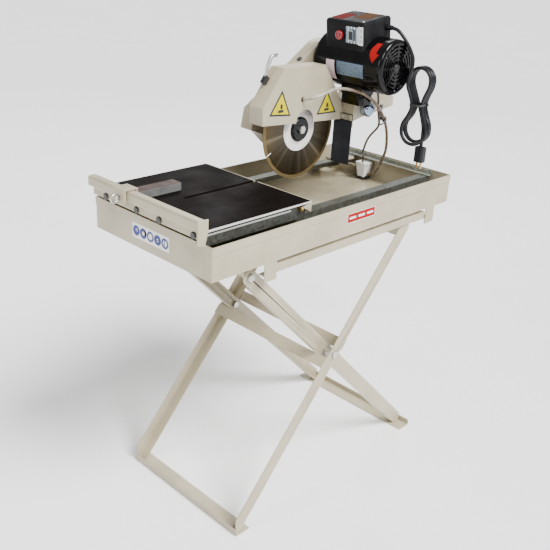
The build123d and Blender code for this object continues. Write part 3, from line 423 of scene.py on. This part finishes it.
PUMP_FOOT_TOP, PRONG_TOP = 751, 897.5
STOP_BAR_X, STOP_BAR_Z, CREAM_BARS_TOP = 423, 801, 790
TUB_FLOOR = (741.5, 746)
FLAP_STRIP_X, GUIDE_TOP, HUB_Y = 162.9, 868, 145
repaint("pump", FINISHES["black_plastic"], lambda x, y, z: z < PUMP_FOOT_TOP)
repaint("power_plug", FINISHES["brass"], lambda x, y, z: z < PRONG_TOP)
repaint("rail_cross_bars", galvanised("pale_zinc", 2.6), lambda x, y, z: x > STOP_BAR_X and z > STOP_BAR_Z)
repaint("rail_cross_bars", CREAM, lambda x, y, z: z < CREAM_BARS_TOP)
repaint("tub", cream_enamel("wet_enamel", (0.92, 0.92, 0.90), 0.06),
        lambda x, y, z: TUB_FLOOR[0] < z < TUB_FLOOR[1])
repaint("flap_clamp", CREAM, lambda x, y, z: x > FLAP_STRIP_X)
repaint("rip_guide", moulded("brown_bar", (0.026, 0.013, 0.009), (0.048, 0.027, 0.019), (0.5, 0.7)),
        lambda x, y, z: z > GUIDE_TOP)
for node_name in ("front_wheels", "rear_wheels"):
    repaint(node_name, FINISHES["cast_iron"], lambda x, y, z: abs(y) > HUB_Y)
for node_name, width in SOFTENED.items():
    soften(NODES[node_name], width)


# ------------------------------------------------------------------ stage, camera and light


EYE = (-1430.6, -1314.2, 1427)
EYE_ANGLES = (46.87, 24.05, 3.36)  # yaw, pitch and roll in degrees
SENSOR, LENS = 36, 51.0545  # millimetres


def make_camera():
    """Eye level above the table, looking along the tub from the operator's corner."""
    yaw, pitch, roll = (math.radians(a) for a in EYE_ANGLES)
    forward = Vector((math.sin(yaw) * math.cos(pitch), math.cos(yaw) * math.cos(pitch), -math.sin(pitch)))
    right = Vector((math.cos(yaw), -math.sin(yaw), 0))
    up = right.cross(forward)
    turned = (math.cos(roll) * right + math.sin(roll) * up, math.cos(roll) * up - math.sin(roll) * right)
    data = bpy.data.cameras.new("camera")
    data.lens, data.sensor_width = LENS, SENSOR
    camera = bpy.data.objects.new("camera", data)
    bpy.context.scene.collection.objects.link(camera)
    camera.matrix_world = Matrix.Translation(at(*EYE)) @ Matrix(
        (turned[0], turned[1], -forward)).transposed().to_4x4()
    bpy.context.scene.camera = camera


def area_light(name, place, target, size, power):
    """A round soft light that faces a target."""
    data = bpy.data.lights.new(name, "AREA")
    data.shape, data.size, data.energy = "DISK", size, power
    light = bpy.data.objects.new(name, data)
    light.location = place
    light.rotation_euler = (Vector(target) - Vector(place)).to_track_quat("-Z", "Y").to_euler()
    bpy.context.scene.collection.objects.link(light)


def make_floor():
    """Wide pale paper floor, just under the feet."""
    bpy.ops.mesh.primitive_plane_add(size=80, location=(0, 0, -0.0005))
    floor = bpy.context.object
    floor.name = "floor"
    f = Finish("floor_paper", roughness=0.8)
    f.set("Base Color", f.ramp(f.noise(1.5, 3), (0.3, (0.93, 0.93, 0.93)), (0.7, (0.96, 0.96, 0.96))))
    dress(floor, f.material)


def make_light():
    """White surroundings, a broad light from the near side, and three soft lamps."""
    world = bpy.data.worlds.new("studio")
    bpy.context.scene.world = world
    world.use_nodes = True
    background = world.node_tree.nodes["Background"]
    background.inputs["Color"].default_value = (1.0, 1.0, 1.0, 1)
    background.inputs["Strength"].default_value = 0.5
    area_light("key", (-1.4, -2.8, 3.4), (0, 0, 0.8), 1.6, 90)
    area_light("fill", (-3.4, 0.6, 2.2), (0, 0, 0.7), 1.6, 45)
    area_light("back", (2.4, 2.4, 3.2), (0.1, 0, 0.9), 2.0, 50)
    ceiling = bpy.data.objects.new("ceiling", bpy.data.lights.new("ceiling", "SUN"))
    ceiling.data.energy, ceiling.data.angle = 6.6, math.radians(24)
    ceiling.rotation_euler = Vector((-0.15, 0.75, -0.95)).to_track_quat("-Z", "Y").to_euler()
    bpy.context.scene.collection.objects.link(ceiling)


make_camera()
make_floor()
make_light()


# ------------------------------------------------------------------ curves and meshes


def smooth_line(name, points):
    """A NURBS curve whose control points are the route's own points."""
    data = bpy.data.curves.new(name, "CURVE")
    data.dimensions, data.resolution_u = "3D", 12
    spline = data.splines.new("NURBS")
    spline.points.add(len(points) - 1)
    for control, point in zip(spline.points, points):
        control.co = (*point, 1)
    spline.order_u, spline.use_endpoint_u = 3, True
    curve = bpy.data.objects.new(name, data)
    bpy.context.scene.collection.objects.link(curve)
    return curve


def line_points(curve):
    """The points along a curve that has no bevel."""
    mesh = bpy.data.meshes.new_from_object(curve)
    points = [vertex.co.copy() for vertex in mesh.vertices]
    bpy.data.meshes.remove(mesh)
    return points


def tube_mesh(name, points, radius, sides=16):
    """A tube round a line of points, with closed ends."""
    mesh = bmesh.new()
    direction = (points[1] - points[0]).normalized()
    side = direction.orthogonal().normalized()
    rings = []
    for i, point in enumerate(points):
        ahead = points[min(i + 1, len(points) - 1)] - points[max(i - 1, 0)]
        direction = ahead.normalized()
        side = (side - direction * side.dot(direction)).normalized()
        other = direction.cross(side)
        rings.append([mesh.verts.new(point + radius * (math.cos(a) * side + math.sin(a) * other))
                      for a in (2 * math.pi * k / sides for k in range(sides))])
    for first, second in zip(rings, rings[1:]):
        for k in range(sides):
            mesh.faces.new((first[k], first[(k + 1) % sides], second[(k + 1) % sides], second[k]))
    mesh.faces.new(rings[0][::-1])
    mesh.faces.new(rings[-1])
    return finish_mesh(name, mesh, True)


def finish_mesh(name, mesh, smooth=False):
    """Turn a bmesh into a linked object."""
    bmesh.ops.recalc_face_normals(mesh, faces=mesh.faces)
    data = bpy.data.meshes.new(name)
    mesh.to_mesh(data)
    mesh.free()
    for polygon in data.polygons:
        polygon.use_smooth = smooth
    obj = bpy.data.objects.new(name, data)
    bpy.context.scene.collection.objects.link(obj)
    return obj


# ------------------------------------------------------------------ mains lead, water hose and pump lead

MAINS_RADIUS, HOSE_RADIUS, PUMP_CORD_RADIUS = 0.0045, 0.004, 0.003  # metres
WAIST_Z = 1000  # below this height a layer of the hank is shifted

# Routes in the drawing, in millimetres. The hank's halves are (y, z), and each layer has its own x.
CORD_START = [(207.6, -108, 1214.5), (207.6, -129, 1214.4), (208.7, -143.7, 1211.1), (211.4, -155.8, 1200.5),
              (214.9, -166.2, 1188.4), (219.1, -174.5, 1174.9), (223.6, -181, 1160.6), (227.6, -186, 1145.5),
              (226, -186, 1120)]
HANK_DOWN = [(-178, 1087), (-192, 1062), (-203, 1037), (-195, 1010), (-178, 986), (-178, 958), (-197, 939),
             (-225, 939)]
HANK_UP = [(-244, 958), (-244, 985), (-232, 1009), (-221, 1037), (-228, 1062), (-239, 1085), (-239, 1110),
           (-221, 1128), (-196, 1128), (-179, 1111)]
HANK_LAYERS = [(222, 234, 0, 0), (234, 243, -1, 6), (243, 252, 1, 3)]  # x down, x up, shift of the low bend
CORD_END = [(251, -178, 1087), (250, -192, 1060), (250, -205, 1034), (249, -217, 1007), (245, -228, 984),
            (236, -235, 966), (231, -238, 952), (231, -238, 936)]


def hank_turns():
    """The three turns of the spare cord: each goes down beside the motor and up on the outer side."""
    points = []
    for down, up, dy, dz in HANK_LAYERS:
        for x, half in ((down, HANK_DOWN), (up, HANK_UP)):
            points += [(x, y + dy, z + dz) if z < WAIST_Z else (x, y, z) for y, z in half]
    return points


def make_power_cord():
    """The mains lead: out of its boot, down to three tied loops, and into the plug."""
    route = [at(*p) for p in CORD_START + hank_turns() + CORD_END]
    cord = smooth_line("mains_lead", route)
    cord.data.bevel_depth, cord.data.bevel_resolution, cord.data.use_fill_caps = MAINS_RADIUS, 5, True
    cord.data.materials.append(BLACK_RUBBER)
    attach(cord, "head")
    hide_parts("power_cord", "cord_hank")
    return cord


HOSE_ROUTE = [(8, -25, 1042), (17.9, -47.3, 1047.3), (38.5, -59.6, 1055.5), (63, -60.6, 1062.3),
              (88.3, -59.7, 1066.4), (109.4, -73.1, 1066.8), (126, -92.3, 1063.3),
              (147.4, -103, 1055.5), (170.6, -103.2, 1044.8), (192.9, -102.4, 1032.1),
              (214.5, -100, 1018.5), (235.5, -94, 1005.1), (255.8, -86.6, 991.3), (275.3, -79.7, 976.2),
              (293.8, -73.2, 959.6), (310.7, -67, 941.3), (325.5, -60.7, 921.3), (338.6, -53.9, 900.4),
              (351.5, -45.7, 879.8), (364.5, -35.6, 860.1), (376.1, -23.1, 841), (386.4, -9.2, 822.1),
              (397.3, 4, 803), (407.9, 17.7, 784.1), (414.2, 35.5, 766.9), (415.8, 57.5, 758.3)]
PUMP_CORD_ROUTE = [(231.1, -66, 1072.5), (243.7, -68.7, 1057.3), (251.9, -72.1, 1038.6),
                   (254.9, -73, 1018), (257.2, -72.7, 997.3), (261.4, -74.7, 977),
                   (268.7, -73.5, 957.7), (277.5, -62.3, 942.7), (285.1, -47.5, 930.1),
                   (291.1, -32.8, 916.6), (297.5, -19.4, 901.9), (305.7, -7.6, 886.8),
                   (315.3, 3.2, 871.8), (325.9, 14, 857.5), (337.9, 25.5, 844.9), (352.2, 38.2, 836.7),
                   (368.4, 50.4, 832.1), (386, 60, 826.4), (400.5, 67.4, 814), (404, 71, 794.9)]


def make_hanging_line(name, route, radius, slot_name, node_name):
    """A hose or cord that runs from the tilting head down to the tub, as one tube along its route."""
    line = smooth_line(name + "_line", [at(*p) for p in route])
    points = line_points(line)
    bpy.data.objects.remove(line)
    tube = tube_mesh(name, points, radius)
    dress(tube, FINISHES[slot_name])
    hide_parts(node_name)
    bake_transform(tube)


power_cord = make_power_cord()
make_hanging_line("hose", HOSE_ROUTE, HOSE_RADIUS, "clear_vinyl", "water_hose")
make_hanging_line("pump_lead", PUMP_CORD_ROUTE, PUMP_CORD_RADIUS, "brown_vinyl", "pump_cord")


# ------------------------------------------------------------------ labels and small fittings


def lie(origin, across, up):
    """Place points (u, v, w), in millimetres, on a plane: u across it, v up it, w out of it."""
    origin, across, up = Vector(origin), Vector(across).normalized(), Vector(up).normalized()
    out = across.cross(up)
    return lambda u, v, w: at(*(origin + u * across + v * up + w * out))


def wrap(angle, y):
    """Place points (u, v, w) on the motor's shell: u along the shaft, v round it, w out of it."""
    def place(u, v, w):
        turn, reach = math.radians(angle) - v / MOTOR_RADIUS, MOTOR_RADIUS + w
        return at(MOTOR_X + reach * math.cos(turn), y - u, MOTOR_Z + reach * math.sin(turn))
    return place


LEAN_ACROSS = Vector((math.cos(BOX_LEAN), 0, math.sin(BOX_LEAN)))
LEAN_UP = Vector((-math.sin(BOX_LEAN), 0, math.cos(BOX_LEAN)))


def on_box(x, y, z):
    """A point of the switch box, as drawn upright, where it leans on the motor."""
    return Vector((MOTOR_X, y, MOTOR_Z)) + (x - MOTOR_X) * LEAN_ACROSS + (z - MOTOR_Z) * LEAN_UP


def rounded(width, height, radius, steps=5):
    """Outline of a rectangle with round corners, about its own middle."""
    points = []
    for k, (sx, sy) in enumerate(((1, 1), (-1, 1), (-1, -1), (1, -1))):
        for i in range(steps + 1):
            a = math.radians(90 * k + 90 * i / steps)
            points.append((sx * (width / 2 - radius) + radius * math.cos(a),
                           sy * (height / 2 - radius) + radius * math.sin(a)))
    return points


class Relief:
    """Flat shapes of small thickness that make one piece."""

    def __init__(self, place):
        self.mesh, self.place = bmesh.new(), place

    def loops(self, outlines, material):
        """Join rings of points, each (outline, height), one after another."""
        rings = [[self.mesh.verts.new(self.place(u, v, w)) for u, v in outline] for outline, w in outlines]
        count = len(rings[0])
        for first, second in zip(rings, rings[1:]):
            for k in range(count):
                after = (k + 1) % count
                face = self.mesh.faces.new((first[k], first[after], second[after], second[k]))
                face.material_index = material
        return rings

    def plate(self, outline, low, high, material=0, shift=(0, 0)):
        """A closed outline between two heights."""
        outline = [(u + shift[0], v + shift[1]) for u, v in outline]
        rings = self.loops([(outline, low), (outline, high)], material)
        for ring in (rings[0][::-1], rings[1]):
            self.mesh.faces.new(ring).material_index = material

    def ring(self, middle, inner, outer, low, high, material=0, sides=48):
        """A flat ring, or a disc where inner is 0."""
        def circle(radius):
            return [(middle[0] + radius * math.cos(2 * math.pi * k / sides),
                     middle[1] + radius * math.sin(2 * math.pi * k / sides)) for k in range(sides)]

        if inner == 0:
            self.plate(circle(outer), low, high, material)
            return
        around = [(circle(inner), low), (circle(outer), low), (circle(outer), high), (circle(inner), high),
                  (circle(inner), low)]
        self.loops(around, material)

    def dome(self, middle, radius, low, high, material=0, sides=20):
        """A low rounded head."""
        rows = []
        for k in range(5):
            a = math.radians(90 * k / 5)
            r = radius * math.cos(a)
            rows.append(([(middle[0] + r * math.cos(2 * math.pi * i / sides),
                           middle[1] + r * math.sin(2 * math.pi * i / sides)) for i in range(sides)],
                         low + (high - low) * math.sin(a)))
        rings = self.loops(rows, material)
        self.mesh.faces.new(rings[0][::-1]).material_index = material
        self.mesh.faces.new(rings[-1]).material_index = material

    def sheet(self, width, height, low, high, columns, rows, material=0, shift=(0, 0)):
        """A rectangle of small cells, to follow a curved surface."""
        top, bottom = {}, {}
        for i in range(columns + 1):
            for j in range(rows + 1):
                u, v = shift[0] + width * (i / columns - 0.5), shift[1] + height * (j / rows - 0.5)
                top[i, j], bottom[i, j] = (self.mesh.verts.new(self.place(u, v, w)) for w in (high, low))
        for i in range(columns):
            for j in range(rows):
                cell = [(i, j), (i + 1, j), (i + 1, j + 1), (i, j + 1)]
                self.mesh.faces.new([top[c] for c in cell]).material_index = material
                self.mesh.faces.new([bottom[c] for c in cell[::-1]]).material_index = material
        edge = ([(i, 0) for i in range(columns)] + [(columns, j) for j in range(rows)]
                + [(i, rows) for i in range(columns, 0, -1)] + [(0, j) for j in range(rows, 0, -1)])
        for a, b in zip(edge, edge[1:] + edge[:1]):
            self.mesh.faces.new((bottom[a], bottom[b], top[b], top[a])).material_index = material

    def done(self, name, body, slot_name, *materials, smooth=False):
        """Make the piece and say which body carries it; the slot name it is given is not used."""
        bmesh.ops.remove_doubles(self.mesh, verts=self.mesh.verts, dist=1e-7)
        piece = finish_mesh(name, self.mesh, smooth)
        for material in materials:
            piece.data.materials.append(material)
        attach(piece, body)


WHITE_INK = printed("white_ink", (0.80, 0.80, 0.78))
BLUE_INK = printed("blue_ink", (0.006, 0.020, 0.19))
RED_INK = printed("red_ink", (0.32, 0.006, 0.006), 0.5, 0.0, 0.1)
YELLOW_INK = printed("yellow_ink", (0.56, 0.47, 0.0), 0.6, 0.0, 0.1)
BLACK_INK = printed("black_ink", (0.012, 0.012, 0.012))
PINK_INK = printed("pink_ink", (0.80, 0.62, 0.62))
FOIL = printed("foil", (0.42, 0.50, 0.56), 0.25, 0.8)


def make_end_label():
    """White plate with five round pictograms on the tub's end wall."""
    label = Relief(lie((TUB_END_X, -2, 780), (0, -1, 0), (0, 0, 1)))
    label.plate(rounded(134, 36, 3), 0, 0.35)
    for k, inner in enumerate((0, 5, 7.5, 4, 7.5)):
        label.ring((-52 + 26 * k, 0), inner, 12.3, 0.35, 0.6, 1, 32)
    label.plate(rounded(6, 14, 2.5), 0.35, 0.6, 0, (-19, 3))
    label.plate(rounded(13, 2.6, 1.2), 0.35, 0.62, 1, (25, 0))
    label.plate(rounded(2.6, 15, 1.2), 0.35, 0.62, 1, (50, 0))
    label.ring((-50, 2), 2, 3.5, 0.6, 0.75, 0, 24)
    label.done("end_label", "base", "white_plastic", WHITE_INK, BLUE_INK)


def make_side_plate():
    """Red plate with a white border and three white bars on the tub's near wall."""
    label = Relief(lie((49.5, TUB_SIDE_Y, 785.5), (1, 0, 0), (0, 0, 1)))
    label.plate(rounded(109, 25, 2), 0, 0.35)
    label.plate(rounded(106, 22, 1.5), 0.35, 0.5, 1)
    for u in (-34, 0, 34):
        label.plate(rounded(26, 6, 3), 0.5, 0.62, 0, (u, 0))
    label.done("side_plate", "base", "red_plastic", WHITE_INK, RED_INK)


def make_triangle(name, corners):
    """Yellow triangle with a black border and a plain mark, on the guard's near side."""
    middle = (sum(x for x, z in corners) / 3, sum(z for x, z in corners) / 3)
    flat = [(x - middle[0], z - middle[1]) for x, z in corners]
    label = Relief(lie((middle[0], GUARD_NEAR_Y, middle[1]), (1, 0, 0), (0, 0, 1)))
    label.plate([(1.04 * u, 1.04 * v) for u, v in flat], 0, 0.3)
    label.plate([(0.82 * u, 0.82 * v) for u, v in flat], 0.3, 0.45, 1)
    label.plate(rounded(19, 7, 3), 0.45, 0.6, 0, (0, -9))
    label.plate(rounded(8, 12, 3.5), 0.45, 0.6, 0, (2, 2))
    label.done(name, "head", "white_plastic", BLACK_INK, YELLOW_INK)


def make_blade_label():
    """Paper ring round the blade's clamping washer."""
    label = Relief(lie((ARBOR[0], -1.2, ARBOR[2]), (1, 0, 0), (0, 0, 1)))
    label.ring((0, 0), 31.6, 56, 0, 0.2, 0, 96)
    for inner, outer in ((38, 40), (50, 52)):
        label.ring((0, 0), inner, outer, 0.2, 0.3, 1, 96)
    for k in range(12):
        a = math.radians(30 * k)
        label.plate(rounded(4.5, 4.5, 2), 0.2, 0.3, 1, (45 * math.cos(a), 45 * math.sin(a)))
    label.done("blade_label", "blade", "white_plastic", WHITE_INK, PINK_INK)


def make_motor_labels():
    """Foil rating plate and paper strip on the motor's shell, both without lettering."""
    plate = Relief(wrap(191, -73))
    plate.sheet(84, 34, 0.05, 0.5, 14, 16)
    for v in (-9, -3, 3, 9):
        plate.sheet(70, 1.6, 0.5, 0.62, 12, 1, 1, (0, v))
    for u in (-38, 38):
        plate.sheet(3, 3, 0.5, 1.1, 2, 2, 0, (u, 0))
    plate.done("rating_plate", "head", "bright_steel", printed("blue_foil", (0.15, 0.22, 0.33), 0.25, 0.7),
               printed("grey_ink", (0.10, 0.14, 0.18)))
    strip = Relief(wrap(199, -10))
    strip.sheet(27, 52, 0.05, 0.35, 5, 24)
    for v in (-18, -9, 0, 9):
        strip.sheet(19, 2.2, 0.35, 0.45, 4, 2, 1, (0, v))
    strip.done("paper_strip", "head", "white_plastic", printed("faded_paper", (0.74, 0.60, 0.62)), PINK_INK)


# The turning arrow's left and right edges at each distance round the shell: distance, left, right.
ARROW_EDGES = [(-27, 3.2, 4.4), (-11.6, -9.5, 13), (-5.1, -11, 16.4), (-4, -11.2, 6.8), (3.8, -12.7, 7),
               (27, -5.8, 8.5)]


def make_turning_arrow():
    """Red arrow that shows the way of turning, wrapped round the motor's shell."""
    shell = wrap(146, -137)

    def place(u, v, w):
        for (v0, left0, right0), (v1, left1, right1) in zip(ARROW_EDGES, ARROW_EDGES[1:]):
            if v <= v1 + 1e-6:
                t = (v - v0) / (v1 - v0)
                left, right = left0 + t * (left1 - left0), right0 + t * (right1 - right0)
                return shell(left + (u + 0.5) * (right - left), v, w)
        return shell(u, v, w)

    arrow = Relief(place)
    arrow.sheet(1, 54, 0.05, 0.45, 4, 54)
    arrow.done("turning_arrow", "head", "red_plastic", RED_INK)


def make_box_marks():
    """Strip, patches and lid screws on the switch box."""
    front = Relief(lie(on_box(133, -97, 1203), (0, -1, 0), LEAN_UP))
    front.plate(rounded(14, 44, 1), 0.02, 0.35)
    for v in (-12, 0, 12):
        front.plate(rounded(8, 8, 1), 0.35, 0.5, 1, (0, v))
    front.done("switch_strip", "head", "white_plastic", WHITE_INK, printed("pale_blue", (0.45, 0.52, 0.60)))
    top = Relief(lie(on_box(MOTOR_X, -45, 1235), LEAN_ACROSS, (0, 1, 0)))
    top.plate(rounded(60, 38, 3), 0.02, 0.35, 0, (-14, 34))
    top.plate(rounded(56, 44, 3), 0.02, 0.35, 1, (12, -18))
    for u, v in ((-44, 52), (44, 52), (-44, -52), (44, -52)):
        top.dome((u, v), 3.2, 0, 1.6, 2)
    top.done("box_top_marks", "head", "black_plastic",
             printed("dull_red", (0.10, 0.008, 0.006), 0.6, 0.0, 0.04),
             printed("dull_amber", (0.07, 0.030, 0.008), 0.6, 0.0, 0.04), FINISHES["bright_steel"])


def make_switch_boot():
    """Ribbed cover on the start button, which it goes in with."""
    boot = Relief(lie(on_box(127, -71, 1203), (0, -1, 0), LEAN_UP))
    boot.plate(rounded(15, 25, 2.5), 0, 1.2)
    for u in (-5, -1.7, 1.7, 5):
        boot.plate(rounded(1.7, 21, 0.8), 1.2, 2.6, 1, (u, 0))
    boot.done("switch_boot", "start", "black_plastic", FOIL, BLACK_INK)


def make_tie(name, middle, axis, wide, deep, across=None):
    """A strap with a small buckle, round an axis."""
    axis = Vector(axis).normalized()
    across = Vector(across) if across else axis.cross(Vector((0, 1, 0))).normalized()
    tie = Relief(lie(middle, across, axis.cross(across)))
    inner, outer = rounded(wide, deep, 6, 8), rounded(wide + 2.4, deep + 2.4, 7, 8)
    tie.loops([(inner, -2.5), (outer, -2.5), (outer, 2.5), (inner, 2.5), (inner, -2.5)], 0)
    tie.plate(rounded(7, 4, 1), -3.2, 3.2, 0, (wide / 2 - 7, -deep / 2 - 2.2))
    tie.done(name, "head", "black_plastic", FINISHES["black_plastic"])


def make_small_fittings():
    """The pump's screws, a brass stud on the cart's side, and the fan cover's screws and boss."""
    pump = Relief(lie((416, 55.6, 784), (1, 0, 0), (0, 0, 1)))
    for u in (-9, 8):
        pump.dome((u, 2), 2.2, 0, 1.4)
    pump.done("pump_screws", "base", "black_plastic", BLACK_INK, smooth=True)
    stud = Relief(lie((-131, -183, 835), (1, 0, 0), (0, 0, 1)))
    stud.ring((-14, -1), 0, 6.5, -6, 1.5, 0, 6)
    stud.dome((-14, -1), 4, 1.5, 4.5, 0)
    stud.done("cart_stud", "cart", "brass", FINISHES["brass"])
    fan = Relief(lie((MOTOR_X, MOTOR_FAN_Y, MOTOR_Z), (1, 0, 0), (0, 0, 1)))
    for k in range(3):
        a = math.radians(30 + 120 * k)
        fan.dome((55.5 * math.cos(a), 55.5 * math.sin(a)), 3, -0.3, 2)
    fan.ring((0, 0), 3, 9, -0.2, 0.8)
    fan.done("fan_cover_screws", "head", "bright_steel", FINISHES["black_plastic"], smooth=True)


make_end_label()
make_side_plate()
make_triangle("front_triangle", ((-66, 1070), (-106, 1014), (-34, 1007)))
make_triangle("rear_triangle", ((99, 1054), (65, 998), (138, 996)))
make_blade_label()
make_motor_labels()
make_turning_arrow()
make_box_marks()
make_switch_boot()
make_tie("cord_tie", (236, -212, 1038), (0, 0.05, 1), 41, 30, (1, 0, 0))
make_tie("hose_tie", (276, -76, 965), (0.7, 0.25, -0.67), 21, 12)
make_small_fittings()
